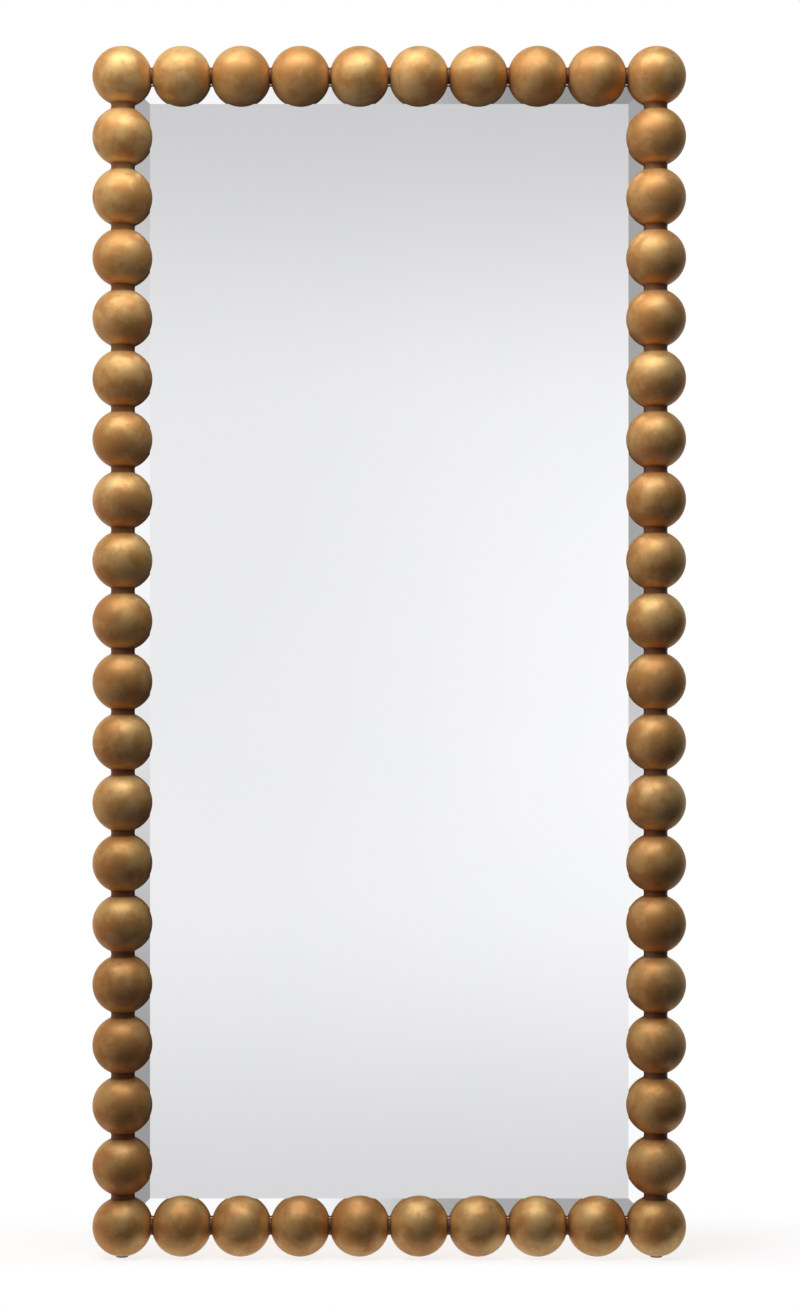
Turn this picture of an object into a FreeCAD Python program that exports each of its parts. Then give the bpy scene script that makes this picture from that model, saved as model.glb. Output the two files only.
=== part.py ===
import FreeCAD, Part
import os
import Sketcher
from FreeCAD import Placement, Rotation, Vector

# A beaded leaner mirror in millimetres. X runs to the right, Y to the back and Z up,
# and the origin lies on the floor under the middle of the object.

# Sizes that can each be set alone; every other size follows from these
SIZES = [
    ("ball_diameter", 100, "turned ball"),
    ("side_neck_diameter", 39, "collar of a side rail, and the flats it meets"),
    ("side_neck", 9.7, "its length"),
    ("top_neck_diameter", 29.5, "collar of the top or bottom rail, and the flats it meets"),
    ("top_neck", 4.2, "its length"),
    ("side_count", 18, "balls between the corner balls of a side rail"),
    ("top_count", 8, "balls between the corner balls of the top or bottom rail"),
    ("dowel_diameter", 20, "hardwood dowel that a rail is strung on"),
    ("dowel_chamfer", 1.5, "lead-in at both ends of a dowel"),
    ("dowel_end_gap", 1, "room for glue past a dowel's end"),
    ("corner_wall", 6, "wood left in a corner ball beyond the side of the crossing bore"),
    ("glue_gap", 0.2, "gap round every glued or screwed fit"),
    ("rebate_wood", 3, "wood left between a dowel's bore and the rebate for the glass"),
    ("ledge_depth", 4, "glass front, behind the plane of the ball centres"),
    ("glass_thickness", 5, "mirror glass"),
    ("glass_edge", 2.5, "thickness left at the bevelled edge"),
    ("bevel_width", 31.75, "ground bevel round the glass"),
    ("glass_gap", 1.5, "room round the glass, filled at the foot by the setting blocks"),
    ("block_length", 40, "rubber setting block"),
    ("block_ball_count", 2, "ball that carries a setting block, counted from the corner"),
    ("board_thickness", 6, "backing board"),
    ("batten_width", 40, "pine batten, across its face"),
    ("batten_depth", 22, "pine batten, front to back"),
    ("tenon_length", 20, "stub tenon, half the width of the stile"),
    ("tenon_thickness", 8, "stub tenon, front to back"),
    ("tenon_shoulder", 5, "step at each edge of a tenon"),
    ("brace_neck_count", 3, "braces, in ball spacings from the middle; each lies level with a collar"),
    ("ball_screw_setback", 7, "ball screws, behind the front of the battens"),
    ("ball_screw_diameter", 4, "countersunk wood screw"),
    ("ball_screw_head", 8, "its head"),
    ("ball_screw_bite", 18, "its length in the ball"),
    ("ball_screw_tip", 5, "its pointed tip"),
    ("plate_width", 24, "steel corner plate, across a leg"),
    ("plate_thickness", 2, "steel corner plate"),
    ("plate_hole_start", 16, "inner screw hole of a leg, past the joint of the battens"),
    ("plate_hole_spacing", 20, "screw holes of a leg, apart"),
    ("plate_hole_end", 12, "outer screw hole from the end of the leg"),
    ("pan_screw_diameter", 4, "pan-head screw of the plates and hangers"),
    ("pan_screw_head", 7.6, "its head"),
    ("pan_screw_height", 2.4, "its head, above the steel"),
    ("pan_screw_round", 1.4, "rounded rim of its head"),
    ("pan_screw_bite", 10, "its length in the batten"),
    ("recess_depth", 1.4, "cross recess in every screw head"),
    ("recess_width", 1.1, "one arm of the cross, across"),
    ("recess_reach", 2.2, "one arm of the cross, from its middle"),
    ("hanger_height", 500, "ring pivot above the middle of the mirror"),
    ("strap_width", 18, "hanger strap"),
    ("strap_thickness", 1.6, "hanger strap"),
    ("strap_corner", 6, "rounded lower corners of the strap"),
    ("strap_hole_end", 8, "lower screw hole from the end of the strap"),
    ("strap_hole_spacing", 14, "screw holes of the strap, apart"),
    ("ring_wire", 4, "wire of the hanger ring"),
    ("ring_play", 0.08, "gap between the wire and the rolled eye"),
    ("ring_bend", 4, "bends beside the eye, at the wire's centre"),
    ("ring_side", 8, "straight sides of the ring"),
    ("ring_side_gap", 1, "strap edge to the start of a bend"),
    ("ring_head_gap", 4, "ring's end to the upper screw head of the strap"),
    ("bumper_diameter", 20, "rubber wall bumper"),
    ("bumper_proud", 3, "wall bumper, out of the ball's back"),
    ("bumper_seat", 2, "depth of the flat that a bumper sits on"),
    ("pad_diameter", 20, "rubber floor pad"),
    ("pad_proud", 1, "floor pad, below the ball"),
    ("pad_seat", 1.5, "depth of the flat that a pad sits on"),
    ("rubber_chamfer", 0.8, "worn edge of a bumper or pad"),
    ("stem_diameter", 8, "push-in stem of a bumper or pad"),
    ("stem_length", 12, "push-in stem of a bumper or pad"),
]

doc = FreeCAD.newDocument("leaner_mirror")
sheet = doc.addObject("Spreadsheet::Sheet", "Sizes")
for row, (alias, value, note) in enumerate(SIZES, start=1):
    sheet.set(f"A{row}", note)
    sheet.set(f"B{row}", str(value))
    sheet.setAlias(f"B{row}", alias)
doc.recompute()

# Lengths that follow from the sizes; depths (Y) are from the plane of the ball centres
BALL_R = "(Sizes.ball_diameter / 2)"
SIDE_NECK_R = "(Sizes.side_neck_diameter / 2)"
TOP_NECK_R = "(Sizes.top_neck_diameter / 2)"
SIDE_FLAT = f"sqrt({BALL_R}^2 - {SIDE_NECK_R}^2)"
TOP_FLAT = f"sqrt({BALL_R}^2 - {TOP_NECK_R}^2)"
SIDE_PITCH = f"(2 * {SIDE_FLAT} + Sizes.side_neck)"
TOP_PITCH = f"(2 * {TOP_FLAT} + Sizes.top_neck)"
HALF_HEIGHT = f"((Sizes.side_count + 1) * {SIDE_PITCH} / 2)"
HALF_WIDTH = f"((Sizes.top_count + 1) * {TOP_PITCH} / 2)"
MIDDLE = f"(Sizes.pad_proud + {BALL_R} + {HALF_HEIGHT})"
BALL_PLANE = "(-Sizes.bumper_proud / 2)"
BORE_R = "(Sizes.dowel_diameter / 2 + Sizes.glue_gap)"
BORE_END = f"({BORE_R} + Sizes.corner_wall)"
WALL = f"({BORE_R} + Sizes.rebate_wood)"
LEDGE = "Sizes.ledge_depth"
BOARD_FRONT = f"({LEDGE} + Sizes.glass_thickness)"
BATTEN_FRONT = f"({BOARD_FRONT} + Sizes.board_thickness)"
BATTEN_BACK = f"({BATTEN_FRONT} + Sizes.batten_depth)"
BATTEN_LINE = f"({WALL} + Sizes.batten_width / 2)"
BATTEN_INNER = f"({WALL} + Sizes.batten_width)"
BRACE_HEIGHT = f"((Sizes.brace_neck_count + mod(Sizes.side_count; 2) / 2) * {SIDE_PITCH})"
BALL_SCREW_Y = f"({BATTEN_FRONT} + Sizes.ball_screw_setback)"
BALL_SCREW_R = "(Sizes.ball_screw_diameter / 2)"
PAN_SCREW_R = "(Sizes.pan_screw_diameter / 2)"
TENON_MID = f"({BATTEN_FRONT} + Sizes.batten_depth / 2)"
TENON_Y = (f"{TENON_MID} - Sizes.tenon_thickness / 2", f"{TENON_MID} + Sizes.tenon_thickness / 2")
TENON_HALF = "(Sizes.batten_width / 2 - Sizes.tenon_shoulder)"
PLATE_START = f"({BATTEN_LINE} - Sizes.plate_width / 2)"
PLATE_HOLES = [f"({BATTEN_INNER} + Sizes.plate_hole_start)"]
PLATE_HOLES.append(f"({PLATE_HOLES[0]} + Sizes.plate_hole_spacing)")
WIRE_R = "(Sizes.ring_wire / 2)"
EYE_R = f"({WIRE_R} + Sizes.ring_play)"
ROLL_R = f"({EYE_R} + Sizes.strap_thickness)"
RING_LEG = "(Sizes.strap_width / 2 + Sizes.ring_side_gap)"
RING_HALF = f"({RING_LEG} + Sizes.ring_bend)"
RING_LOW = "(Sizes.ring_bend + Sizes.ring_side)"
RING_END = f"({RING_LOW} + {RING_HALF} + {WIRE_R})"
STRAP_HOLES = [f"({RING_END} + Sizes.ring_head_gap + Sizes.pan_screw_head / 2)"]
STRAP_HOLES.append(f"({STRAP_HOLES[0]} + Sizes.strap_hole_spacing)")
STEM_R = "(Sizes.stem_diameter / 2)"
GAP = "Sizes.glue_gap"

# Where the rails and corners are. Each has a frame of its own that is turned about Y: in it
# a rail runs along Z with the glass on its +X side, and a corner has one rail below (-Z) and
# one beside it (+X)
RAILS = {
    "left": {"turn": 0, "x": f"-{HALF_WIDTH}", "z": MIDDLE},
    "top": {"turn": 90, "x": "0", "z": f"({MIDDLE} + {HALF_HEIGHT})"},
    "right": {"turn": 180, "x": HALF_WIDTH, "z": MIDDLE},
    "bottom": {"turn": 270, "x": "0", "z": f"({MIDDLE} - {HALF_HEIGHT})"},
}
for side in ("left", "right"):
    RAILS[side].update(half=HALF_HEIGHT, pitch=SIDE_PITCH, count="Sizes.side_count")
    RAILS[side].update(neck="Sizes.side_neck", neck_r=SIDE_NECK_R, flat=SIDE_FLAT)
for side in ("top", "bottom"):
    RAILS[side].update(half=HALF_WIDTH, pitch=TOP_PITCH, count="Sizes.top_count")
    RAILS[side].update(neck="Sizes.top_neck", neck_r=TOP_NECK_R, flat=TOP_FLAT)
CORNERS = {
    "top_left": {"turn": 0, "x": f"-{HALF_WIDTH}", "z": f"({MIDDLE} + {HALF_HEIGHT})"},
    "top_right": {"turn": 90, "x": HALF_WIDTH, "z": f"({MIDDLE} + {HALF_HEIGHT})"},
    "bottom_right": {"turn": 180, "x": HALF_WIDTH, "z": f"({MIDDLE} - {HALF_HEIGHT})"},
    "bottom_left": {"turn": 270, "x": f"-{HALF_WIDTH}", "z": f"({MIDDLE} - {HALF_HEIGHT})"},
}
for corner in ("top_left", "bottom_right"):
    CORNERS[corner].update(flat_below=SIDE_FLAT, flat_beside=TOP_FLAT)
for corner in ("top_right", "bottom_left"):
    CORNERS[corner].update(flat_below=TOP_FLAT, flat_beside=SIDE_FLAT)
ALONG_X = Rotation(Vector(0, 1, 0), 90)
ALONG_Y = Rotation(Vector(1, 0, 0), -90)

# Two places closer than this are one place
SAME_PLACE = 1e-6

# Every finished piece, by the name of its file
pieces = {}


def number(text):
    return float(sheet.evalExpression(text))


def bind(obj, **texts):
    for prop, text in texts.items():
        obj.setExpression(prop, text)
    return obj


def place(obj, frame, x="0", y="0", z="0", lay=Rotation()):
    turn = frame["turn"]
    across, up = {
        0: (x, z),
        90: (z, f"-({x})"),
        180: (f"-({x})", f"-({z})"),
        270: (f"-({z})", x),
    }[turn]
    obj.Placement = Placement(Vector(), Rotation(Vector(0, 1, 0), turn) * lay)
    obj.setExpression("Placement.Base.x", f"{frame['x']} + {across}")
    obj.setExpression("Placement.Base.y", f"{BALL_PLANE} + {y}")
    obj.setExpression("Placement.Base.z", f"{frame['z']} + {up}")
    return obj


def new_body(name, frame, x="0", y="0", z="0"):
    body = doc.addObject("PartDesign::Body", name)
    body.AllowCompound = True
    pieces[name] = body
    return place(body, frame, x, y, z)


def origin_feature(body, role):
    return next(feature for feature in body.Origin.OriginFeatures if feature.Role == role)


def new_sketch(body, role, lift="0"):
    sketch = body.newObject("Sketcher::SketchObject", f"{body.Name}_sketch")
    sketch.AttachmentSupport = [(origin_feature(body, role), "")]
    sketch.MapMode = "FlatFace"
    sketch.setExpression("AttachmentOffset.Base.z", lift)
    return sketch


def hold(sketch, kind, geometry, text):
    index = sketch.addConstraint(Sketcher.Constraint(kind, *geometry, number(text)))
    sketch.setExpression(f"Constraints[{index}]", text)


def hold_point(sketch, line, end, x, y):
    for kind, axis, text in (("DistanceX", -2, x), ("DistanceY", -1, y)):
        if text == "0":
            sketch.addConstraint(Sketcher.Constraint("PointOnObject", line, end, axis))
        else:
            hold(sketch, kind, (-1, 1, line, end), text)


def polygon(sketch, corners):
    first = sketch.GeometryCount
    points = [Vector(number(x), number(y), 0) for x, y in corners]
    for start, end in zip(points, points[1:] + points[:1]):
        sketch.addGeometry(Part.LineSegment(start, end))
    for index, (x, y) in enumerate(corners):
        following = first + (index + 1) % len(corners)
        sketch.addConstraint(Sketcher.Constraint("Coincident", first + index, 2, following, 1))
        hold_point(sketch, first + index, 1, x, y)


def rectangle(sketch, x_low, x_high, y_low, y_high):
    polygon(sketch, [(x_low, y_low), (x_high, y_low), (x_high, y_high), (x_low, y_high)])


def circle(sketch, x, y, radius):
    middle = Vector(number(x), number(y), 0)
    line = sketch.addGeometry(Part.Circle(middle, Vector(0, 0, 1), number(radius)))
    hold_point(sketch, line, 3, x, y)
    hold(sketch, "Radius", (line,), radius)


def cross(sketch, x, y):
    # The outline of a cross recess, round the point x, y
    half, reach = "Sizes.recess_width / 2", "Sizes.recess_reach"
    steps = [
        (half, half), (reach, half), (reach, f"-{half}"), (half, f"-{half}"),
        (half, f"-{reach}"), (f"-{half}", f"-{reach}"), (f"-{half}", f"-{half}"), (f"-{reach}", f"-{half}"),
        (f"-{reach}", half), (f"-{half}", half), (f"-{half}", reach), (half, reach),
    ]
    polygon(sketch, [(f"{x} + {across}", f"{y} + {up}") for across, up in steps])


def extrude(body, kind, sketch, length=None, midplane=False, backward=False):
    feature = body.newObject(f"PartDesign::{kind}", f"{body.Name}_{kind.lower()}")
    feature.Profile = sketch
    feature.Midplane = midplane
    feature.Reversed = backward
    if length is None:
        feature.Type = "ThroughAll"
    else:
        feature.setExpression("Length", length)
    return feature


def revolve(body, sketch, axis):
    feature = body.newObject("PartDesign::Revolution", f"{body.Name}_revolution")
    feature.Profile = sketch
    feature.ReferenceAxis = (sketch, [axis])
    feature.Angle = 360
    return feature


def repeat(body, count, pitch, feature=None):
    # Copies along the body's Z axis, of one feature or of the whole piece so far
    pattern = body.newObject("PartDesign::LinearPattern", f"{body.Name}_pattern")
    if feature:
        pattern.Originals = [feature]
    else:
        pattern.TransformMode = "Whole shape"
    pattern.Direction = (origin_feature(body, "Z_Axis"), [""])
    pattern.Mode = "Spacing"
    bind(pattern, Offset=pitch, Occurrences=count)
    body.Tip = pattern
    return pattern


def round_edges(body, feature, radius, wanted):
    # Fillets the edges of a feature for which wanted is true
    doc.recompute()
    edges = enumerate(feature.Shape.Edges, start=1)
    names = [f"Edge{index}" for index, edge in edges if wanted(edge.BoundBox)]
    rounded = body.newObject("PartDesign::Fillet", f"{body.Name}_fillet")
    rounded.Base = (feature, names)
    bind(rounded, Radius=radius)


def box(name, frame, low, high):
    # A box between two corners, given as texts in the frame's own directions
    solid = doc.addObject("Part::Box", name)
    length, width, height = (f"{b} - ({a})" for a, b in zip(low, high))
    bind(solid, Length=length, Width=width, Height=height)
    return place(solid, frame, *low)


def cylinder(name, frame, start, radius, height, lay=Rotation()):
    solid = doc.addObject("Part::Cylinder", name)
    bind(solid, Radius=radius, Height=height)
    return place(solid, frame, *start, lay=lay)


# Rebate for the glass, board and batten: one cut along a rail, through its balls and collars
def rebate(body):
    section = new_sketch(body, "XY_Plane")
    rectangle(section, WALL, "Sizes.ball_diameter", LEDGE, "Sizes.ball_diameter")
    extrude(body, "Pocket", section, midplane=True)


# Rail balls: turned, with a flat at each collar, bored for the dowel and rebated for the glass
def rail_balls(side):
    rail = RAILS[side]
    first = f"-({rail['count']} - 1) * {rail['pitch']} / 2"
    body = new_body(f"{side}_balls", rail, z=first)

    profile = new_sketch(body, "XZ_Plane")
    neck, flat, bore, ball = (number(text) for text in (rail["neck_r"], rail["flat"], BORE_R, BALL_R))
    low, high = Vector(neck, -flat, 0), Vector(neck, flat, 0)
    profile.addGeometry(Part.LineSegment(Vector(bore, -flat, 0), low))
    profile.addGeometry(Part.Arc(low, Vector(ball, 0, 0), high))
    profile.addGeometry(Part.LineSegment(high, Vector(bore, flat, 0)))
    profile.addGeometry(Part.LineSegment(Vector(bore, flat, 0), Vector(bore, -flat, 0)))
    for line in range(4):
        profile.addConstraint(Sketcher.Constraint("Coincident", line, 2, (line + 1) % 4, 1))
    profile.addConstraint(Sketcher.Constraint("Horizontal", 0))
    profile.addConstraint(Sketcher.Constraint("Horizontal", 2))
    profile.addConstraint(Sketcher.Constraint("Vertical", 3))
    profile.addConstraint(Sketcher.Constraint("Vertical", 0, 2, 2, 1))
    profile.addConstraint(Sketcher.Constraint("Coincident", 1, 3, -1, 1))
    hold(profile, "Radius", (1,), BALL_R)
    hold(profile, "DistanceX", (-1, 1, 0, 2), rail["neck_r"])
    hold(profile, "DistanceX", (-1, 1, 0, 1), BORE_R)
    revolve(body, profile, "V_Axis")

    rebate(body)
    pilot = new_sketch(body, "YZ_Plane", lift=f"{WALL} - Sizes.ball_screw_bite - {GAP}")
    circle(pilot, BALL_SCREW_Y, "0", f"{BALL_SCREW_R} + {GAP}")
    extrude(body, "Pocket", pilot, backward=True)
    repeat(body, rail["count"], rail["pitch"])


# Collars: turned rings on the dowel, between the flats of two balls, with the balls' rebate
def rail_collars(side):
    rail = RAILS[side]
    body = new_body(f"{side}_collars", rail, z=f"{rail['flat']} - {rail['half']}")
    ring = new_sketch(body, "XY_Plane")
    circle(ring, "0", "0", rail["neck_r"])
    circle(ring, "0", "0", BORE_R)
    extrude(body, "Pad", ring, rail["neck"])
    rebate(body)
    repeat(body, f"{rail['count']} + 1", rail["pitch"])


# Dowels: one through each rail, glued into the corner balls at both ends
def rail_dowel(side):
    rail = RAILS[side]
    half = f"({rail['half']} - {BORE_END} - Sizes.dowel_end_gap)"
    radius = "(Sizes.dowel_diameter / 2)"
    body = new_body(f"{side}_dowel", rail)
    profile = new_sketch(body, "XZ_Plane")
    polygon(profile, [
        ("0", f"-{half}"),
        (f"{radius} - Sizes.dowel_chamfer", f"-{half}"),
        (radius, f"-{half} + Sizes.dowel_chamfer"),
        (radius, f"{half} - Sizes.dowel_chamfer"),
        (f"{radius} - Sizes.dowel_chamfer", half),
        ("0", half),
    ])
    revolve(body, profile, "V_Axis")


# Corner balls: two flats, two blind bores, a notch for the glass and the seats of the rubber feet
def corner_ball(corner):
    frame = CORNERS[corner]
    name = f"corner_ball_{corner}"
    upright = {**frame, "turn": 0}
    below, beside = frame["flat_below"], frame["flat_beside"]
    out = "Sizes.ball_diameter"
    stem_bore = f"({STEM_R} + {GAP})"
    stem_floor = f"(Sizes.stem_length + {GAP})"
    back_seat = f"({BALL_R} - Sizes.bumper_seat)"
    back_floor = f"({back_seat} - {stem_floor})"
    back_depth = f"{out} - {back_floor}"
    foot_seat = f"(Sizes.pad_seat - {BALL_R})"
    foot_depth = f"{out} + {foot_seat} + {stem_floor}"
    tools = [
        box(f"{name}_lower_flat", frame, (f"-{out}", f"-{out}", f"-{out}"), (out, out, f"-{below}")),
        box(f"{name}_side_flat", frame, (beside, f"-{out}", f"-{out}"), (out, out, out)),
        cylinder(f"{name}_lower_bore", frame, ("0", "0", f"-{out}"), BORE_R, f"{out} - {BORE_END}"),
        cylinder(f"{name}_side_bore", frame, (BORE_END, "0", "0"), BORE_R, f"{out} - {BORE_END}", ALONG_X),
        box(f"{name}_notch", frame, (WALL, LEDGE, f"-{out}"), (out, out, f"-{WALL}")),
        box(f"{name}_back_seat", frame, (f"-{out}", back_seat, f"-{out}"), (out, out, out)),
        cylinder(f"{name}_back_bore", frame, ("0", back_floor, "0"), stem_bore, back_depth, ALONG_Y),
    ]
    if corner.startswith("bottom"):
        tools += [
            box(f"{name}_foot_seat", upright, (f"-{out}", f"-{out}", f"-{out}"), (out, out, foot_seat)),
            cylinder(f"{name}_foot_bore", upright, ("0", "0", f"-{out}"), stem_bore, foot_depth),
        ]
    ball = doc.addObject("Part::Sphere", f"{name}_blank")
    bind(ball, Radius=BALL_R)
    place(ball, frame)
    removed = doc.addObject("Part::MultiFuse", f"{name}_removed")
    removed.Shapes = tools
    pieces[name] = doc.addObject("Part::Cut", name)
    pieces[name].Base = ball
    pieces[name].Tool = removed


# Mirror glass: one sheet with a ground bevel on its front; the silver is on its back
def glass():
    middle = {"turn": 0, "x": "0", "z": MIDDLE}
    across = f"({HALF_WIDTH} - {WALL} - Sizes.glass_gap)"
    up = f"({HALF_HEIGHT} - {WALL} - Sizes.glass_gap)"
    slope = "(Sizes.glass_thickness - Sizes.glass_edge)"
    bevel = doc.addObject("Part::Wedge", "mirror_glass_bevel")
    bind(
        bevel, Ymin="0", Ymax=slope,
        Xmin=f"Sizes.bevel_width - {across}", Xmax=f"{across} - Sizes.bevel_width",
        Zmin=f"Sizes.bevel_width - {up}", Zmax=f"{up} - Sizes.bevel_width",
        X2min=f"-{across}", X2max=across, Z2min=f"-{up}", Z2max=up,
    )
    place(bevel, middle, y=LEDGE)
    low = (f"-{across}", f"{LEDGE} + {slope}", f"-{up}")
    sheet_back = box("mirror_glass_back", middle, low, (across, BOARD_FRONT, up))
    pieces["mirror_glass"] = doc.addObject("Part::MultiFuse", "mirror_glass")
    pieces["mirror_glass"].Shapes = [bevel, sheet_back]
    pieces["mirror_glass"].Refine = True


# Setting blocks: rubber strips that carry the glass on the second ball from each bottom corner
def setting_blocks():
    rail = RAILS["bottom"]
    blocks = []
    for end, sign in (("left", "1"), ("right", "-1")):
        middle = f"{sign} * ({HALF_WIDTH} - Sizes.block_ball_count * {TOP_PITCH})"
        low = (WALL, LEDGE, f"{middle} - Sizes.block_length / 2")
        high = (f"({WALL} + Sizes.glass_gap)", BOARD_FRONT, f"{middle} + Sizes.block_length / 2")
        blocks.append(box(f"setting_block_{end}", rail, low, high))
    pieces["setting_blocks"] = doc.addObject("Part::Compound", "setting_blocks")
    pieces["setting_blocks"].Links = blocks


# Backing board: a plain sheet behind the glass, held by the battens
def backing_board():
    middle = {"turn": 0, "x": "0", "z": MIDDLE}
    across = f"({HALF_WIDTH} - {WALL} - {GAP})"
    up = f"({HALF_HEIGHT} - {WALL} - {GAP})"
    low, high = (f"-{across}", BOARD_FRONT, f"-{up}"), (across, BATTEN_FRONT, up)
    pieces["backing_board"] = box("backing_board", middle, low, high)


# Holes that the battens of every rail share: countersunk for the ball screws, blind for the plates
def ball_screw_holes(body, rail):
    mark = new_sketch(body, "YZ_Plane", lift=BATTEN_INNER)
    circle(mark, BALL_SCREW_Y, f"-({rail['count']} - 1) * {rail['pitch']} / 2", f"{BALL_SCREW_R} + {GAP}")
    doc.recompute()
    hole = body.newObject("PartDesign::Hole", f"{body.Name}_hole")
    hole.Profile = mark
    hole.DepthType = "ThroughAll"
    hole.HoleCutType = "Countersink"
    hole.HoleCutCountersinkAngle = 90
    bind(hole, Diameter=f"2 * ({BALL_SCREW_R} + {GAP})")
    bind(hole, HoleCutDiameter=f"Sizes.ball_screw_head + 2 * {GAP}")
    repeat(body, rail["count"], rail["pitch"], hole)


def pan_screw_holes(body, heights):
    marks = new_sketch(body, "XZ_Plane", lift=f"-{BATTEN_BACK}")
    for height in heights:
        circle(marks, BATTEN_LINE, height, f"{PAN_SCREW_R} + {GAP}")
    extrude(body, "Pocket", marks, f"Sizes.pan_screw_bite + {GAP}", backward=True)


# Stiles: the upright battens, full height, mortised for the crossing battens and the braces
def stile(side):
    rail = RAILS[side]
    body = new_body(f"{side}_stile", rail)
    section = new_sketch(body, "XY_Plane")
    rectangle(section, WALL, BATTEN_INNER, BATTEN_FRONT, BATTEN_BACK)
    extrude(body, "Pad", section, f"2 * ({HALF_HEIGHT} - {WALL})", midplane=True)

    mortises = new_sketch(body, "YZ_Plane", lift=BATTEN_INNER)
    end = f"({HALF_HEIGHT} - {BATTEN_LINE})"
    for middle in (end, BRACE_HEIGHT, f"-{BRACE_HEIGHT}", f"-{end}"):
        reach = f"({TENON_HALF} + {GAP})"
        low, high = f"{middle} - {reach}", f"{middle} + {reach}"
        rectangle(mortises, f"{TENON_Y[0]} - {GAP}", f"{TENON_Y[1]} + {GAP}", low, high)
    extrude(body, "Pocket", mortises, f"Sizes.tenon_length + {GAP}")

    ball_screw_holes(body, rail)
    up = "1" if side == "left" else "-1"
    heights = [f"{sign} * ({HALF_HEIGHT} - {hole})" for sign in ("1", "-1") for hole in PLATE_HOLES]
    heights += [f"{up} * (Sizes.hanger_height - {hole})" for hole in STRAP_HOLES]
    pan_screw_holes(body, heights)


# Crossing battens and braces: between the stiles, with a stub tenon at both ends
def crossing(name, frame, line):
    body = new_body(name, frame)
    length = f"2 * ({HALF_WIDTH} - {BATTEN_INNER})"
    section = new_sketch(body, "XY_Plane")
    low, high = f"{line} - Sizes.batten_width / 2", f"{line} + Sizes.batten_width / 2"
    rectangle(section, low, high, BATTEN_FRONT, BATTEN_BACK)
    extrude(body, "Pad", section, length, midplane=True)
    tenon = new_sketch(body, "XY_Plane")
    rectangle(tenon, f"{line} - {TENON_HALF}", f"{line} + {TENON_HALF}", *TENON_Y)
    extrude(body, "Pad", tenon, f"{length} + 2 * Sizes.tenon_length", midplane=True)
    return body


def batten(side):
    rail = RAILS[side]
    body = crossing(f"{side}_batten", rail, BATTEN_LINE)
    ball_screw_holes(body, rail)
    places = [f"{sign} * ({HALF_WIDTH} - {hole})" for sign in ("1", "-1") for hole in PLATE_HOLES]
    pan_screw_holes(body, places)


def brace(name, sign):
    height = f"({MIDDLE} + {sign} * {BRACE_HEIGHT})"
    crossing(name, {"turn": 90, "x": "0", "z": height}, "0")


# Ball screws: countersunk, through the battens into every rail ball
def ball_screws(side):
    rail = RAILS[side]
    first = f"-({rail['count']} - 1) * {rail['pitch']} / 2"
    body = new_body(f"{side}_ball_screws", rail, y=BALL_SCREW_Y, z=first)
    head = "(Sizes.ball_screw_head / 2)"
    tip = f"({WALL} - Sizes.ball_screw_bite)"
    profile = new_sketch(body, "XY_Plane")
    polygon(profile, [
        (BATTEN_INNER, "0"),
        (BATTEN_INNER, head),
        (f"{BATTEN_INNER} - {head} + {BALL_SCREW_R}", BALL_SCREW_R),
        (f"{tip} + Sizes.ball_screw_tip", BALL_SCREW_R),
        (tip, "0"),
    ])
    revolve(body, profile, "H_Axis")
    recess = new_sketch(body, "YZ_Plane", lift=BATTEN_INNER)
    cross(recess, "0", "0")
    extrude(body, "Pocket", recess, "Sizes.recess_depth")
    repeat(body, rail["count"], rail["pitch"])


# Pan-head screws: one body holds those of one plate or strap, with their heads on the steel
def pan_screws(name, frame, spots, steel):
    body = new_body(name, frame, y=f"{BATTEN_BACK} + {steel}")
    shanks = new_sketch(body, "XZ_Plane")
    for x, z in spots:
        circle(shanks, x, z, PAN_SCREW_R)
    extrude(body, "Pad", shanks, f"{steel} + Sizes.pan_screw_bite")
    heads = new_sketch(body, "XZ_Plane")
    for x, z in spots:
        circle(heads, x, z, "Sizes.pan_screw_head / 2")
    domes = extrude(body, "Pad", heads, "Sizes.pan_screw_height", backward=True)
    rim = number("Sizes.pan_screw_height")
    round_edges(body, domes, "Sizes.pan_screw_round", lambda edge: abs(edge.YMin - rim) < SAME_PLACE)
    recesses = new_sketch(body, "XZ_Plane", lift="-Sizes.pan_screw_height")
    for x, z in spots:
        cross(recesses, x, z)
    extrude(body, "Pocket", recesses, "Sizes.recess_depth", backward=True)


# Corner plates: flat steel angles across the corner joints of the battens
def corner_plate(corner):
    frame = CORNERS[corner]
    near, far = PLATE_START, f"({PLATE_HOLES[1]} + Sizes.plate_hole_end)"
    inner = f"({PLATE_START} + Sizes.plate_width)"
    spots = [(hole, f"-{BATTEN_LINE}") for hole in PLATE_HOLES]
    spots += [(BATTEN_LINE, f"-{hole}") for hole in PLATE_HOLES]
    body = new_body(f"corner_plate_{corner}", frame, y=BATTEN_BACK)
    outline = new_sketch(body, "XZ_Plane")
    steps = [(near, near), (far, near), (far, inner), (inner, inner), (inner, far), (near, far)]
    polygon(outline, [(x, f"-{z}") for x, z in steps])
    for x, z in spots:
        circle(outline, x, z, f"{PAN_SCREW_R} + {GAP}")
    extrude(body, "Pad", outline, "Sizes.plate_thickness", backward=True)
    pan_screws(f"plate_screws_{corner}", frame, spots, "Sizes.plate_thickness")


# Hangers: on each stile a steel strap with a rolled eye, whose ring hangs and swings in the eye
def hanger_frame(side):
    across = f"({HALF_WIDTH} - {BATTEN_LINE})"
    x = f"-{across}" if side == "left" else across
    return {"turn": 0, "x": x, "z": f"({MIDDLE} + Sizes.hanger_height)"}


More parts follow.
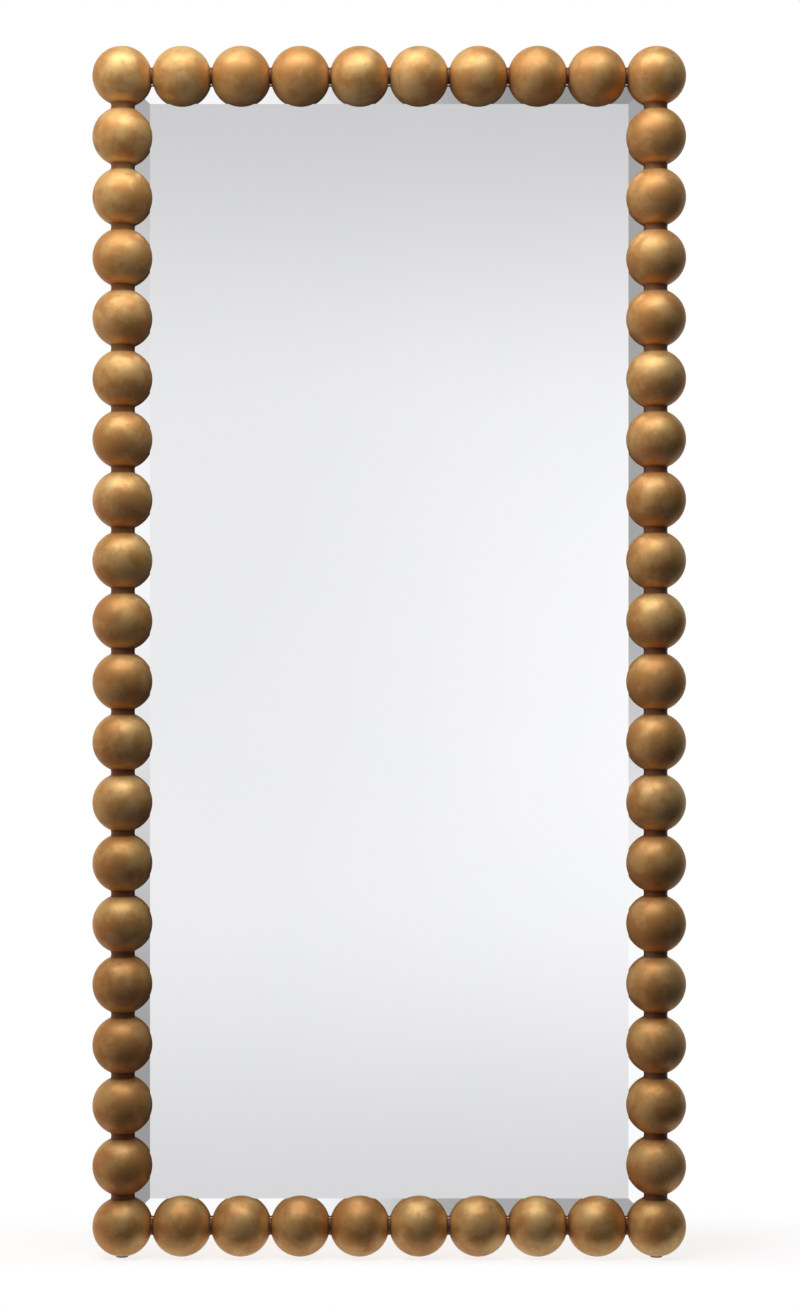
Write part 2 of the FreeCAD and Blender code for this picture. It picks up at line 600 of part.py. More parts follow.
def hanger_strap(side):
    frame = hanger_frame(side)
    spots = [("0", f"-{hole}") for hole in STRAP_HOLES]
    foot = f"-({STRAP_HOLES[1]} + Sizes.strap_hole_end)"
    body = new_body(f"{side}_hanger_strap", frame, y=BATTEN_BACK)
    strip = new_sketch(body, "YZ_Plane")
    rectangle(strip, "0", "Sizes.strap_thickness", foot, "0")
    flat = extrude(body, "Pad", strip, "Sizes.strap_width", midplane=True)
    end = number(foot)
    round_edges(
        body, flat, "Sizes.strap_corner",
        lambda edge: abs(edge.ZMax - end) < SAME_PLACE and edge.XLength < SAME_PLACE,
    )
    roll = new_sketch(body, "YZ_Plane")
    circle(roll, ROLL_R, "0", ROLL_R)
    extrude(body, "Pad", roll, "Sizes.strap_width", midplane=True)
    eye = new_sketch(body, "YZ_Plane")
    circle(eye, ROLL_R, "0", EYE_R)
    extrude(body, "Pocket", eye, midplane=True)
    holes = new_sketch(body, "XZ_Plane")
    for x, z in spots:
        circle(holes, x, z, f"{PAN_SCREW_R} + {GAP}")
    extrude(body, "Pocket", holes, midplane=True)
    pan_screws(f"{side}_hanger_screws", frame, spots, "Sizes.strap_thickness")


def hanger_ring(side):
    # The wire's path starts in the middle of the eye; three of its seven stretches are arcs
    leg, half, bend, low = RING_LEG, RING_HALF, "Sizes.ring_bend", RING_LOW
    corners = [
        ("0", "0"), (f"-{leg}", "0"), (f"-{half}", f"-{bend}"), (f"-{half}", f"-{low}"),
        (half, f"-{low}"), (half, f"-{bend}"), (leg, "0"),
    ]
    left_bend, bow, right_bend = 1, 3, 5
    middles = {left_bend: (f"-{leg}", f"-{bend}"), bow: ("0", f"-{low}"), right_bend: (leg, f"-{bend}")}
    body = new_body(f"{side}_hanger_ring", hanger_frame(side), y=f"{BATTEN_BACK} + {ROLL_R}")
    path = new_sketch(body, "XZ_Plane")
    points = [Vector(number(x), number(z), 0) for x, z in corners]
    for index, (start, end) in enumerate(zip(points, points[1:] + points[:1])):
        if index in middles:
            middle = Vector(*(number(text) for text in middles[index]), 0)
            whole = Part.Circle(middle, Vector(0, 0, 1), (start - middle).Length)
            path.addGeometry(Part.ArcOfCircle(whole, whole.parameter(start), whole.parameter(end)))
        else:
            path.addGeometry(Part.LineSegment(start, end))
    for index, (x, z) in enumerate(corners):
        path.addConstraint(Sketcher.Constraint("Coincident", index, 2, (index + 1) % len(corners), 1))
        hold_point(path, index, 1, x, z)
    hold(path, "DistanceX", (-1, 1, left_bend, 3), f"-{leg}")
    hold(path, "DistanceY", (-1, 1, bow, 3), f"-{low}")
    hold(path, "DistanceX", (-1, 1, right_bend, 3), leg)
    wire = new_sketch(body, "YZ_Plane")
    circle(wire, "0", "0", WIRE_R)
    bent = body.newObject("PartDesign::AdditivePipe", f"{body.Name}_pipe")
    bent.Profile = wire
    bent.Spine = (path, [])


# Rubber feet: push-in buttons on the backs of the corner balls and under the lower two
def button(name, frame, role, out, radius, seat, face):
    # The button faces along the sketch's upright axis, or against it where out is -1
    body = new_body(name, frame)
    stem_end = f"{seat} - {out} * Sizes.stem_length"
    edge = f"{face} - {out} * Sizes.rubber_chamfer"
    profile = new_sketch(body, role)
    polygon(profile, [
        ("0", stem_end), (STEM_R, stem_end), (STEM_R, seat), (radius, seat),
        (radius, edge), (f"{radius} - Sizes.rubber_chamfer", face), ("0", face),
    ])
    revolve(body, profile, "V_Axis")


for side in RAILS:
    rail_balls(side)
    rail_collars(side)
    rail_dowel(side)
    ball_screws(side)
for corner, frame in CORNERS.items():
    corner_ball(corner)
    corner_plate(corner)
    seat, face = f"({BALL_R} - Sizes.bumper_seat)", f"({BALL_R} + Sizes.bumper_proud)"
    button(f"wall_bumper_{corner}", frame, "XY_Plane", "1", "(Sizes.bumper_diameter / 2)", seat, face)
    if corner.startswith("bottom"):
        seat, face = f"(Sizes.pad_seat - {BALL_R})", f"(-{BALL_R} - Sizes.pad_proud)"
        upright = {**frame, "turn": 0}
        name = corner.replace("bottom", "floor_pad")
        button(name, upright, "XZ_Plane", "(-1)", "(Sizes.pad_diameter / 2)", seat, face)
for side in ("left", "right"):
    stile(side)
    hanger_strap(side)
    hanger_ring(side)
batten("top")
batten("bottom")
brace("upper_brace", "1")
brace("lower_brace", "-1")
glass()
setting_blocks()
backing_board()
doc.recompute()

# Every object has to be sound before anything is written
for obj in doc.Objects:
    if "Invalid" in obj.State or "Error" in obj.State:
        raise RuntimeError(f"{obj.Name} did not recompute: {obj.State}")
for name, piece in pieces.items():
    if piece.Shape.isNull() or not piece.Shape.isValid() or not piece.Shape.Solids:
        raise RuntimeError(f"{name} has no sound shape")
os.makedirs("parts", exist_ok=True)
for name, piece in pieces.items():
    piece.Label = name
    piece.Shape.exportStep(f"parts/{name}.step")
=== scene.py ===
import math
import bpy
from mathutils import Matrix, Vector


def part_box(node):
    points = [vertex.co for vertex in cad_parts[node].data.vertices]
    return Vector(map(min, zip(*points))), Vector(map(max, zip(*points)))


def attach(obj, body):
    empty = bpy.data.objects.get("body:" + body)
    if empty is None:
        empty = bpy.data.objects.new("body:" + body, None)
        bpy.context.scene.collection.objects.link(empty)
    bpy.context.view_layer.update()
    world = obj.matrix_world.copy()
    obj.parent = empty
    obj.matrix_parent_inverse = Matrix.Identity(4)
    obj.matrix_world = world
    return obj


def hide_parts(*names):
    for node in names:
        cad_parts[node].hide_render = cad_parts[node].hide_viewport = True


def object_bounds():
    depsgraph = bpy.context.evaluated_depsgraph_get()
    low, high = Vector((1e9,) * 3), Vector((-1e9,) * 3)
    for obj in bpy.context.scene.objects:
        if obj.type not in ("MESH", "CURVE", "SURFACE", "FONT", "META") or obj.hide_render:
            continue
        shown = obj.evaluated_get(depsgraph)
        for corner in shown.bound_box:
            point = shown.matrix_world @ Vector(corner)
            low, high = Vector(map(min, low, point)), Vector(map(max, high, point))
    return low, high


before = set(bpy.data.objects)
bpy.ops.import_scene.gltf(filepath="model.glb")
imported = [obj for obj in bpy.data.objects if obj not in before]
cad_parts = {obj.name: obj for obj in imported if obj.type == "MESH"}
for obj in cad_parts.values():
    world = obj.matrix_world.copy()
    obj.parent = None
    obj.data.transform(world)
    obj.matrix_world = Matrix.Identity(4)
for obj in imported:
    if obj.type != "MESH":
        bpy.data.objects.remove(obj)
cad_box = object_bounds()


# Dowels: one straight beech rod runs through each of the four rails and holds its balls and collars
# in line. Turned to 20 mm, left plain and glued, so they show only when the frame is taken apart.
def linear(code):
    """The linear colour of an sRGB hex code."""
    shares = [int(code[i:i + 2], 16) / 255 for i in (0, 2, 4)]
    return tuple(s / 12.92 if s <= 0.04045 else ((s + 0.055) / 1.055) ** 2.4 for s in shares) + (1.0,)


def add(tree, kind, settings=None, inputs=None):
    """Adds a node with its settings. Each input takes a value, or a link from a node or an output."""
    node = tree.nodes.new(kind)
    for name, value in (settings or {}).items():
        setattr(node, name, value)
    for name, value in (inputs or {}).items():
        if isinstance(name, int):
            socket = node.inputs[name]
        else:
            socket = next(s for s in node.inputs if s.enabled and s.name == name)
        if isinstance(value, bpy.types.Node):
            value = next(s for s in value.outputs if s.enabled)
        if isinstance(value, bpy.types.NodeSocket):
            tree.links.new(value, socket)
        else:
            socket.default_value = value
    return node


def blank_material(name):
    """A material that has no nodes yet."""
    material = bpy.data.materials.new(name)
    material.use_nodes = True
    material.node_tree.nodes.clear()
    return material


def dress(material, *nodes):
    """Gives CAD nodes, whose shape is right as it is, their finish."""
    for name in nodes:
        for material_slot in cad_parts[name].material_slots:
            material_slot.material = material


def per_metre(millimetres):
    """The texture scale at which a pattern's features are that far apart."""
    return 1000 / millimetres


# Sanded beech: pale and pinkish, with the short dark flecks of its rays and no gloss.
BEECH_PALE = linear("D9B58C")
BEECH_FLECK = linear("B98A5E")
FLECK_WIDTH = 1.2
COLOURS = {"data_type": "RGBA"}

sanded_beech = blank_material("sanded_beech")
tree = sanded_beech.node_tree
place = add(tree, "ShaderNodeTexCoord").outputs["Object"]
flecks = add(tree, "ShaderNodeTexNoise", None,
             {"Vector": place, "Scale": per_metre(FLECK_WIDTH), "Detail": 3.0})
tone = add(tree, "ShaderNodeMix", COLOURS, {"Factor": flecks, "A": BEECH_PALE, "B": BEECH_FLECK})
wood = add(tree, "ShaderNodeBsdfPrincipled", None, {"Base Color": tone, "Roughness": 0.6})
add(tree, "ShaderNodeOutputMaterial", None, {"Surface": wood})
dress(sanded_beech, "left_dowel", "right_dowel", "top_dowel", "bottom_dowel")


# Balls: turned wooden balls, 100 mm across, strung on the dowels between flats that meet the collars.
# Their inner side is rebated for the glass and the batten behind it. They are gessoed, coated with
# red-brown bole and gilded, then rubbed back and waxed, with dark umber painted in at the necks as
# shade between them and the collars.
SIDE_BALLS = 18
TOP_BALLS = 8
BALL_SEGMENTS = 72
BALL_RINGS = 48
SHARP_EDGE = math.radians(30)
REBATE_CUTTER = 0.2
CUT_DEPTH = 0.985
LEFT, TOP, RIGHT, BOTTOM = (math.radians(turn) for turn in (0, 90, 180, 270))

low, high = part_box("left_balls")
ball_radius = (high.y - low.y) / 2
ball_plane = (high.y + low.y) / 2
rails = {}
for side, turn, count in (("left", LEFT, SIDE_BALLS), ("top", TOP, TOP_BALLS),
                          ("right", RIGHT, SIDE_BALLS), ("bottom", BOTTOM, TOP_BALLS)):
    low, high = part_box(side + "_collars")
    middle = (low + high) / 2
    middle.y = ball_plane
    neck_radius = min(high.x - low.x, high.z - low.z) / 2
    flat = math.sqrt(ball_radius ** 2 - neck_radius ** 2)
    low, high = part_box(side + "_balls")
    length = max(high.x - low.x, high.z - low.z)
    rails[side] = {
        "Turn": turn, "Count": count, "Pitch": (length - 2 * flat) / (count - 1), "Middle": middle,
        "Neck Radius": neck_radius, "Flat": flat, "Seed": round(math.degrees(turn))}
rebate = {
    "Rebate Wall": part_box("left_stile")[0].x - rails["left"]["Middle"].x,
    "Rebate Ledge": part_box("mirror_glass")[0].y - ball_plane}

# Antique gilding: leaf rubbed thin under wax, half metal to the eye, warm and bright where light strikes
# it, broken by soft reddish patches where the bole shows, and dark and dull at the necks, where umber is
# painted in as shade. The specks and the lathe's rings are drawn coarser than real ones, which are too
# fine to show.
LEAF_BRIGHT = linear("EEC782")
LEAF_DEEP = linear("D39B58")
BOLE = linear("8A4A2C")
# Dark umber painted in at the necks as shade between the balls and the collars.
NECK_SHADE_UMBER = linear("5E2811")
WAX_TINT = linear("FAF4EE")
CLOUD_SIZE = 46
RUB_SIZE = 24
SPECK_SIZE = 2.4
LATHE_SPACING = 1.6
RUBBED_MOST = 0.5
# Painted neck shade: where it starts and where it is full along each ball's axis, and how strong it gets.
NECK_SHADE_START = 0.92
NECK_SHADE_FULL = 1.06
NECK_SHADE_MOST = 0.9
LEAF_METAL = 0.5
COVERED_METAL = 0.15
SMOOTH = {"interpolation_type": "SMOOTHSTEP"}

antique_gilding = blank_material("antique_gilding_on_bole")
tree = antique_gilding.node_tree
place = add(tree, "ShaderNodeTexCoord").outputs["Object"]
ball_tone = add(tree, "ShaderNodeAttribute", {"attribute_name": "ball_tone"}).outputs["Fac"]
along = add(tree, "ShaderNodeAttribute", {"attribute_name": "along_axis"}).outputs["Fac"]
neck_share = add(tree, "ShaderNodeAttribute", {"attribute_name": "neck_share"}).outputs["Fac"]
clouds = add(tree, "ShaderNodeTexNoise", None,
             {"Vector": place, "Scale": per_metre(CLOUD_SIZE), "Detail": 4.0, "Roughness": 0.6})
rubbing = add(tree, "ShaderNodeTexNoise", None, {
    "Vector": place, "Scale": per_metre(RUB_SIZE), "Detail": 6.0, "Roughness": 0.65, "Distortion": 0.4})
specks = add(tree, "ShaderNodeTexNoise", None,
             {"Vector": place, "Scale": per_metre(SPECK_SIZE), "Detail": 3.0, "Roughness": 0.6})
cloud_share = add(tree, "ShaderNodeMapRange", SMOOTH,
                  {"Value": clouds, "From Min": 0.36, "From Max": 0.66})
tone_share = add(tree, "ShaderNodeMath", {"operation": "MULTIPLY_ADD", "use_clamp": True},
                 {0: ball_tone, 1: 0.5, 2: cloud_share})
leaf = add(tree, "ShaderNodeMix", COLOURS, {"Factor": tone_share, "A": LEAF_BRIGHT, "B": LEAF_DEEP})
rubbed = add(tree, "ShaderNodeMapRange", SMOOTH,
             {"Value": rubbing, "From Min": 0.54, "From Max": 0.8, "To Max": RUBBED_MOST})
worn = add(tree, "ShaderNodeMix", COLOURS, {"Factor": rubbed, "A": leaf, "B": BOLE})
# Painted shade: dark umber mixed into the gilding near the necks, where the balls meet the collars.
neck_shade = add(tree, "ShaderNodeMapRange", SMOOTH, {
    "Value": neck_share, "From Min": NECK_SHADE_START, "From Max": NECK_SHADE_FULL, "To Max": NECK_SHADE_MOST})
shaded_at_necks = add(tree, "ShaderNodeMix", COLOURS, {"Factor": neck_shade, "A": worn, "B": NECK_SHADE_UMBER})
covered = add(tree, "ShaderNodeMath", {"operation": "MAXIMUM"}, {0: rubbed, 1: neck_shade})
metal_share = add(tree, "ShaderNodeMapRange", None, {
    "Value": covered, "From Max": NECK_SHADE_MOST, "To Min": LEAF_METAL, "To Max": COVERED_METAL})
gloss = add(tree, "ShaderNodeMapRange", None,
            {"Value": specks, "From Min": 0.3, "From Max": 0.7, "To Min": 0.46, "To Max": 0.58})
lathe_rings = add(tree, "ShaderNodeTexNoise", {"noise_dimensions": "1D"},
                  {"W": along, "Scale": per_metre(LATHE_SPACING), "Detail": 2.0})
relief = add(tree, "ShaderNodeMath", {"operation": "MULTIPLY_ADD"}, {0: lathe_rings, 1: 0.5, 2: specks})
surface = add(tree, "ShaderNodeBump", None, {"Strength": 0.12, "Distance": 0.0006, "Height": relief})
gold = add(tree, "ShaderNodeBsdfPrincipled", None, {
    "Base Color": shaded_at_necks, "Metallic": metal_share, "Roughness": gloss, "Specular IOR Level": 0.8,
    "Specular Tint": WAX_TINT, "Normal": surface})
add(tree, "ShaderNodeOutputMaterial", None, {"Surface": gold})

# Red-brown bole, brushed matt and left bare in the rebates, where nothing is gilded.
BOLE_DARK = linear("5A2E1B")
BRUSH_WIDTH = 3

bare_bole = blank_material("bare_bole")
tree = bare_bole.node_tree
place = add(tree, "ShaderNodeTexCoord").outputs["Object"]
brush = add(tree, "ShaderNodeTexNoise", None,
            {"Vector": place, "Scale": per_metre(BRUSH_WIDTH), "Detail": 4.0})
coat = add(tree, "ShaderNodeMix", COLOURS, {"Factor": brush, "A": BOLE, "B": BOLE_DARK})
paint = add(tree, "ShaderNodeBsdfPrincipled", None, {"Base Color": coat, "Roughness": 0.7})
add(tree, "ShaderNodeOutputMaterial", None, {"Surface": paint})


def new_tree(name, sizes):
    """An empty Geometry Nodes tree with those named inputs, and the sockets that hand them out."""
    made = bpy.data.node_groups.new(name, "GeometryNodeTree")
    for label, kind in sizes.items():
        made.interface.new_socket(label, in_out="INPUT", socket_type="NodeSocket" + kind)
    made.interface.new_socket("Mesh", in_out="OUTPUT", socket_type="NodeSocketGeometry")
    return made, add(made, "NodeGroupInput").outputs


def grow(name, made, values):
    """A plain mesh object grown by a Geometry Nodes tree from those values of its inputs."""
    piece = bpy.data.objects.new(name, bpy.data.meshes.new(name))
    bpy.context.scene.collection.objects.link(piece)
    modifier = piece.modifiers.new(made.name, "NODES")
    modifier.node_group = made
    for item in made.interface.items_tree:
        if item.in_out == "INPUT":
            modifier[item.identifier] = values[item.name]
    depsgraph = bpy.context.evaluated_depsgraph_get()
    mesh = bpy.data.meshes.new_from_object(
        piece.evaluated_get(depsgraph), preserve_all_data_layers=True, depsgraph=depsgraph)
    piece.modifiers.remove(modifier)
    piece.data = mesh
    for number in reversed(range(len(mesh.materials))):
        if mesh.materials[number] is None:
            mesh.materials.pop(index=number)
    return piece


def smooth_but_sharp(tree, mesh):
    """Smooth shading, broken at edges that turn more than SHARP_EDGE."""
    angle = add(tree, "GeometryNodeInputMeshEdgeAngle").outputs["Unsigned Angle"]
    sharp = add(tree, "FunctionNodeCompare", {"operation": "GREATER_THAN"}, {0: angle, 1: SHARP_EDGE})
    smooth = add(tree, "GeometryNodeSetShadeSmooth", {"domain": "FACE"}, {"Geometry": mesh})
    return add(tree, "GeometryNodeSetShadeSmooth", {"domain": "EDGE"},
               {"Geometry": smooth, "Selection": sharp, "Shade Smooth": False})


def rebated(tree, given, mesh):
    """A bead with the rail's rebate routed out of its inner back quarter."""
    half = REBATE_CUTTER / 2
    corner = add(tree, "ShaderNodeCombineXYZ", None,
                 {"X": given["Rebate Wall"], "Y": given["Rebate Ledge"]})
    middle = add(tree, "ShaderNodeVectorMath", {"operation": "ADD"}, {0: corner, 1: (half, half, 0)})
    cutter = add(tree, "GeometryNodeMeshCube", None, {"Size": (REBATE_CUTTER,) * 3})
    cutter = add(tree, "GeometryNodeTransform", None, {"Geometry": cutter, "Translation": middle})
    return add(tree, "GeometryNodeMeshBoolean", {"operation": "DIFFERENCE"},
               {"Mesh 1": mesh, "Mesh 2": cutter})


def mark_cuts(tree, given, ball):
    """Marks the faces that were cut into a ball, which lie deeper than its skin."""
    depth = add(tree, "ShaderNodeVectorMath", {"operation": "LENGTH"},
                {0: add(tree, "GeometryNodeInputPosition")}).outputs["Value"]
    skin = add(tree, "ShaderNodeMath", {"operation": "MULTIPLY"}, {0: given["Radius"], 1: CUT_DEPTH})
    cut = add(tree, "FunctionNodeCompare", {"operation": "LESS_THAN"}, {0: depth, 1: skin})
    return add(tree, "GeometryNodeStoreNamedAttribute", {"data_type": "BOOLEAN", "domain": "FACE"},
               {"Geometry": ball, "Name": "cut", "Value": cut})


def gilded(tree, balls):
    """Gilding on the balls' skin, and bare bole on the faces that were cut into them."""
    cut = add(tree, "GeometryNodeInputNamedAttribute", {"data_type": "BOOLEAN"}, {"Name": "cut"})
    balls = add(tree, "GeometryNodeSetMaterial", None, {"Geometry": balls, "Material": antique_gilding})
    return add(tree, "GeometryNodeSetMaterial", None,
               {"Geometry": balls, "Selection": cut, "Material": bare_bole})


def strung(tree, given, bead):
    """Beads in a row along Z, each with a tone of its own, turned and moved to their rail."""
    step = add(tree, "ShaderNodeCombineXYZ", None, {"Z": given["Pitch"]})
    gaps = add(tree, "ShaderNodeMath", {"operation": "SUBTRACT"}, {0: given["Count"], 1: 1.0})
    run = add(tree, "ShaderNodeMath", {"operation": "MULTIPLY"}, {0: gaps, 1: given["Pitch"]})
    first = add(tree, "ShaderNodeMath", {"operation": "MULTIPLY"}, {0: run, 1: -0.5})
    start = add(tree, "ShaderNodeCombineXYZ", None, {"Z": first})
    places = add(tree, "GeometryNodeMeshLine", None,
                 {"Count": given["Count"], "Start Location": start, "Offset": step})
    string = add(tree, "GeometryNodeInstanceOnPoints", None, {"Points": places, "Instance": bead})
    chance = add(tree, "FunctionNodeRandomValue", None, {"Seed": given["Seed"]})
    string = add(tree, "GeometryNodeStoreNamedAttribute", {"domain": "INSTANCE"},
                 {"Geometry": string, "Name": "ball_tone", "Value": chance})
    turn = add(tree, "ShaderNodeCombineXYZ", None, {"Y": given["Turn"]})
    string = add(tree, "GeometryNodeTransform", None,
                 {"Geometry": string, "Rotation": turn, "Translation": given["Middle"]})
    return add(tree, "GeometryNodeRealizeInstances", None, {"Geometry": string})


tree, given = new_tree("string_of_balls", {
    "Radius": "Float", "Flat": "Float", "Pitch": "Float", "Count": "Int", "Rebate Wall": "Float",
    "Rebate Ledge": "Float", "Turn": "Float", "Middle": "Vector", "Seed": "Int"})
turned = add(tree, "GeometryNodeMeshUVSphere", None,
             {"Segments": BALL_SEGMENTS, "Rings": BALL_RINGS, "Radius": given["Radius"]})
position = add(tree, "GeometryNodeInputPosition")
spot = add(tree, "ShaderNodeSeparateXYZ", None, {"Vector": position}).outputs
lower_flat = add(tree, "ShaderNodeMath", {"operation": "MULTIPLY"}, {0: given["Flat"], 1: -1.0})
height = add(tree, "ShaderNodeClamp", None,
             {"Value": spot["Z"], "Min": lower_flat, "Max": given["Flat"]})
faced = add(tree, "ShaderNodeCombineXYZ", None, {"X": spot["X"], "Y": spot["Y"], "Z": height})
ball = add(tree, "GeometryNodeSetPosition", None, {"Geometry": turned, "Position": faced})
ball = smooth_but_sharp(tree, rebated(tree, given, ball))
ball = mark_cuts(tree, given, ball)
# How near each point lies to a flat, which places the painted neck shade.
off_middle = add(tree, "ShaderNodeMath", {"operation": "ABSOLUTE"}, {0: spot["Z"]})
to_flat = add(tree, "ShaderNodeMath", {"operation": "DIVIDE"}, {0: off_middle, 1: given["Flat"]})
ball = add(tree, "GeometryNodeStoreNamedAttribute", None,
           {"Geometry": ball, "Name": "neck_share", "Value": to_flat})
ball = add(tree, "GeometryNodeStoreNamedAttribute", None,
           {"Geometry": ball, "Name": "along_axis", "Value": spot["Z"]})
string = gilded(tree, strung(tree, given, ball))
add(tree, "NodeGroupOutput", None, {"Mesh": string})
string_of_balls = tree

for side, rail in rails.items():
    balls = grow(side + "_gilded_balls", string_of_balls, {**rail, **rebate, "Radius": ball_radius})
    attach(balls, "mirror")
    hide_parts(side + "_balls")


# Collars: short turned beads of wood that space the balls on the dowels, 39 mm across on the sides and
# 29.5 mm at the top and bottom. Their ends sit on the balls' flats, they share the balls' rebate, and
# their waists are slightly hollowed. They are painted dark and reddish as shade between the balls.
COLLAR_SEGMENTS = 64
COLLAR_STEPS = 8
WAIST_HOLLOW = 0.0008
# How strong the painted neck shade is on each rail's collars, strongest at the top and bottom.
COLLAR_NECK_SHADE = {"left": 1.03, "right": 1.03, "top": NECK_SHADE_FULL, "bottom": NECK_SHADE_FULL}

tree, given = new_tree("string_of_collars", {
    "Neck Radius": "Float", "Length": "Float", "Hollow": "Float", "Neck Shade": "Float", "Pitch": "Float",
    "Count": "Int", "Rebate Wall": "Float", "Rebate Ledge": "Float", "Turn": "Float",
    "Middle": "Vector", "Seed": "Int"})
collar = add(tree, "GeometryNodeMeshCylinder", None, {
    "Vertices": COLLAR_SEGMENTS, "Side Segments": COLLAR_STEPS, "Radius": given["Neck Radius"],
    "Depth": given["Length"]})
position = add(tree, "GeometryNodeInputPosition")
spot = add(tree, "ShaderNodeSeparateXYZ", None, {"Vector": position}).outputs
# The hollow is deepest in the middle of the length and runs out at both ends.
off_middle = add(tree, "ShaderNodeMath", {"operation": "DIVIDE"}, {0: spot["Z"], 1: given["Length"]})
end_share = add(tree, "ShaderNodeMath", {"operation": "MULTIPLY"}, {0: off_middle, 1: off_middle})
waist_share = add(tree, "ShaderNodeMath", {"operation": "MULTIPLY_ADD"}, {0: end_share, 1: -4.0, 2: 1.0})
hollow_share = add(tree, "ShaderNodeMath", {"operation": "DIVIDE"},
                   {0: given["Hollow"], 1: given["Neck Radius"]})
inward = add(tree, "ShaderNodeMath", {"operation": "MULTIPLY"}, {0: waist_share, 1: hollow_share})
width = add(tree, "ShaderNodeMath", {"operation": "SUBTRACT"}, {0: 1.0, 1: inward})
widths = add(tree, "ShaderNodeCombineXYZ", None, {"X": width, "Y": width, "Z": 1.0})
waisted = add(tree, "ShaderNodeVectorMath", {"operation": "MULTIPLY"}, {0: position, 1: widths})
collar = add(tree, "GeometryNodeSetPosition", None, {"Geometry": collar, "Position": waisted})
collar = smooth_but_sharp(tree, rebated(tree, given, collar))
# Each collar takes the painted neck shade at its rail's strength.
collar = add(tree, "GeometryNodeStoreNamedAttribute", None,
             {"Geometry": collar, "Name": "neck_share", "Value": given["Neck Shade"]})
collar = add(tree, "GeometryNodeStoreNamedAttribute", None,
             {"Geometry": collar, "Name": "along_axis", "Value": spot["Z"]})
string = strung(tree, given, collar)
string = add(tree, "GeometryNodeSetMaterial", None, {"Geometry": string, "Material": antique_gilding})
add(tree, "NodeGroupOutput", None, {"Mesh": string})
string_of_collars = tree

for side, rail in rails.items():
    collars = grow(side + "_turned_collars", string_of_collars, {
        **rail, **rebate, "Count": rail["Count"] + 1, "Length": rail["Pitch"] - 2 * rail["Flat"],
        "Hollow": WAIST_HOLLOW, "Neck Shade": COLLAR_NECK_SHADE[side]})
    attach(collars, "mirror")
    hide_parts(side + "_collars")


# Corner balls: turned like the others, with two flats at right angles for the rails that they join, a
# corner rebate for the glass, and small flats for the wall bumper behind and the floor pad below.
# Each is turned so that one of its rails leaves below it and the other beside it.
CORNER_SEGMENTS = 112
CORNER_RINGS = 80
CORNER_RAILS = {"top_left": ("left", "top"), "top_right": ("top", "right"),
                "bottom_right": ("right", "bottom"), "bottom_left": ("bottom", "left")}
CORNER_TONES = {"top_left": 0.2, "top_right": 0.4, "bottom_right": 0.3, "bottom_left": 0.6}

tree, given = new_tree("corner_ball", {
    "Radius": "Float", "Flat Below": "Float", "Flat Beside": "Float", "Rebate Wall": "Float",
    "Rebate Ledge": "Float", "Back Seat": "Float", "Foot": "Float", "Turn": "Float", "Middle": "Vector",
    "Tone": "Float"})
ball = add(tree, "GeometryNodeMeshUVSphere", None,
           {"Segments": CORNER_SEGMENTS, "Rings": CORNER_RINGS, "Radius": given["Radius"]})
reach = REBATE_CUTTER / 2
block = add(tree, "GeometryNodeMeshCube", None, {"Size": (REBATE_CUTTER,) * 3})
past = {name: add(tree, "ShaderNodeMath", {"operation": "ADD"}, {0: given[name], 1: reach})
        for name in ("Flat Below", "Flat Beside", "Rebate Wall", "Rebate Ledge", "Back Seat")}
below_flat = add(tree, "ShaderNodeMath", {"operation": "MULTIPLY"}, {0: past["Flat Below"], 1: -1.0})
below_wall = add(tree, "ShaderNodeMath", {"operation": "MULTIPLY"}, {0: past["Rebate Wall"], 1: -1.0})
below_foot = add(tree, "ShaderNodeMath", {"operation": "SUBTRACT"}, {0: given["Foot"], 1: reach})
for sides in ({"X": past["Flat Beside"]}, {"Z": below_flat}, {"Y": past["Back Seat"]},
              {"X": past["Rebate Wall"], "Y": past["Rebate Ledge"], "Z": below_wall}):
    cut_middle = add(tree, "ShaderNodeCombineXYZ", None, sides)
    cut = add(tree, "GeometryNodeTransform", None, {"Geometry": block, "Translation": cut_middle})
    ball = add(tree, "GeometryNodeMeshBoolean", {"operation": "DIFFERENCE"},
               {"Mesh 1": ball, "Mesh 2": cut})
position = add(tree, "GeometryNodeInputPosition")
spot = add(tree, "ShaderNodeSeparateXYZ", None, {"Vector": position}).outputs
# How near each point lies to either flat, which places the painted neck shade.
downward = add(tree, "ShaderNodeMath", {"operation": "MULTIPLY"}, {0: spot["Z"], 1: -1.0})
to_below = add(tree, "ShaderNodeMath", {"operation": "DIVIDE"}, {0: downward, 1: given["Flat Below"]})
to_beside = add(tree, "ShaderNodeMath", {"operation": "DIVIDE"}, {0: spot["X"], 1: given["Flat Beside"]})
to_flat = add(tree, "ShaderNodeMath", {"operation": "MAXIMUM"}, {0: to_below, 1: to_beside})
for name, value in (("neck_share", to_flat), ("along_axis", spot["Z"]), ("ball_tone", given["Tone"])):
    ball = add(tree, "GeometryNodeStoreNamedAttribute", None,
               {"Geometry": ball, "Name": name, "Value": value})
turn = add(tree, "ShaderNodeCombineXYZ", None, {"Y": given["Turn"]})
ball = add(tree, "GeometryNodeTransform", None, {"Geometry": ball, "Rotation": turn})
foot_middle = add(tree, "ShaderNodeCombineXYZ", None, {"Z": below_foot})
foot = add(tree, "GeometryNodeTransform", None, {"Geometry": block, "Translation": foot_middle})
ball = add(tree, "GeometryNodeMeshBoolean", {"operation": "DIFFERENCE"}, {"Mesh 1": ball, "Mesh 2": foot})
ball = mark_cuts(tree, given, smooth_but_sharp(tree, ball))
ball = add(tree, "GeometryNodeTransform", None, {"Geometry": ball, "Translation": given["Middle"]})
ball = add(tree, "GeometryNodeRealizeInstances", None, {"Geometry": ball})
add(tree, "NodeGroupOutput", None, {"Mesh": gilded(tree, ball)})
corner_ball = tree

